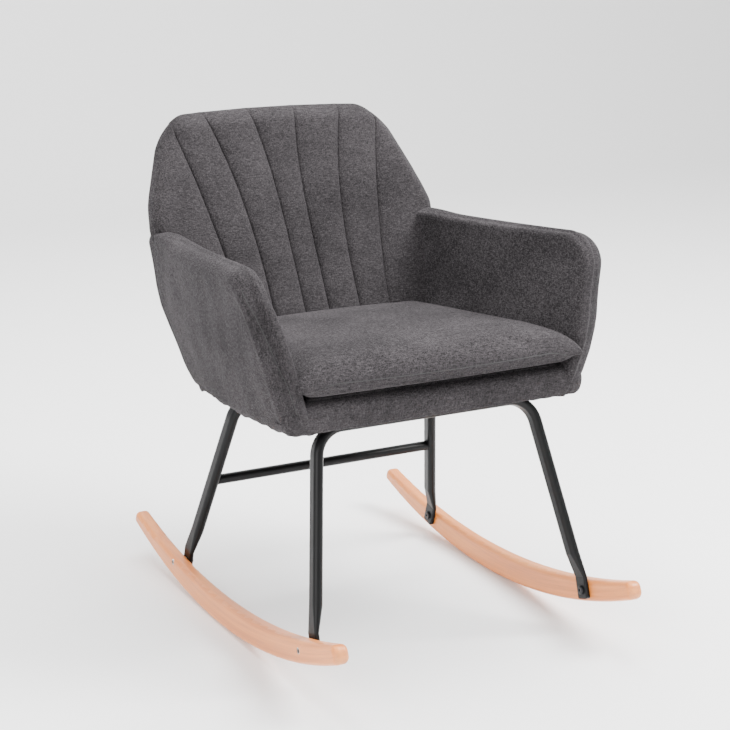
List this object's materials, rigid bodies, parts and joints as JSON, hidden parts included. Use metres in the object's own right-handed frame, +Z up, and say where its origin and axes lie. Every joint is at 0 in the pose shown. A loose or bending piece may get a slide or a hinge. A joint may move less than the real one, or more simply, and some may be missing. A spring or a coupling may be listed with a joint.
{
  "type": "rocking chair",
  "caption": "Upholstered tub rocking chair with a channelled back, a loose seat cushion, bent black steel legs and curved beech rockers.",
  "frame": {"origin": "on the floor, at the middle of the chair's footprint", "axes": "+Z up; the sitter faces -Y; the sitter's left is +X"},
  "size_m": [0.5896, 0.7642, 0.7471],
  "materials": {
    "upholstery_fabric": "matte",
    "foam": "matte",
    "dust_cloth": "matte",
    "beech": "satin",
    "plywood": "matte",
    "pine": "matte",
    "black_steel": "satin",
    "black_hardware": "satin",
    "zinc_hardware": "satin"
  },
  "bodies": {
    "chair": {"arm_board_left": "plywood", "arm_board_right": "plywood", "arm_pad_left": "upholstery_fabric", "arm_pad_right": "upholstery_fabric", "back_board": "plywood", "back_bottom_rail": "pine", "back_outer_cover": "upholstery_fabric", "back_pad": "upholstery_fabric", "corner_blocks": "pine", "deck_pad": "upholstery_fabric", "dust_cover": "dust_cloth", "front_apron": "upholstery_fabric", "front_leg_frame": "black_steel", "front_mounting_plates": "black_steel", "front_rail": "pine", "rear_leg_frame": "black_steel", "rear_mounting_plates": "black_steel", "rear_rail": "pine", "rear_stretcher": "black_steel", "rocker_bolts": "black_hardware", "rocker_insert_nuts": "zinc_hardware", "rocker_left": "beech", "rocker_right": "beech", "seat_board": "plywood", "seat_bolt_washers": "zinc_hardware", "seat_bolts": "zinc_hardware", "side_rail_left": "pine", "side_rail_right": "pine", "tee_nuts": "zinc_hardware"},
    "seat_cushion": {"seat_cushion_cover": "upholstery_fabric", "seat_cushion_foam": "foam"}
  },
  "joints": [
    {"name": "cushion_lift", "type": "slide", "parent": "chair", "child": "seat_cushion", "axis": [0, 0.0924, 0.9957], "range_m": [0, 0.25]}
  ]
}
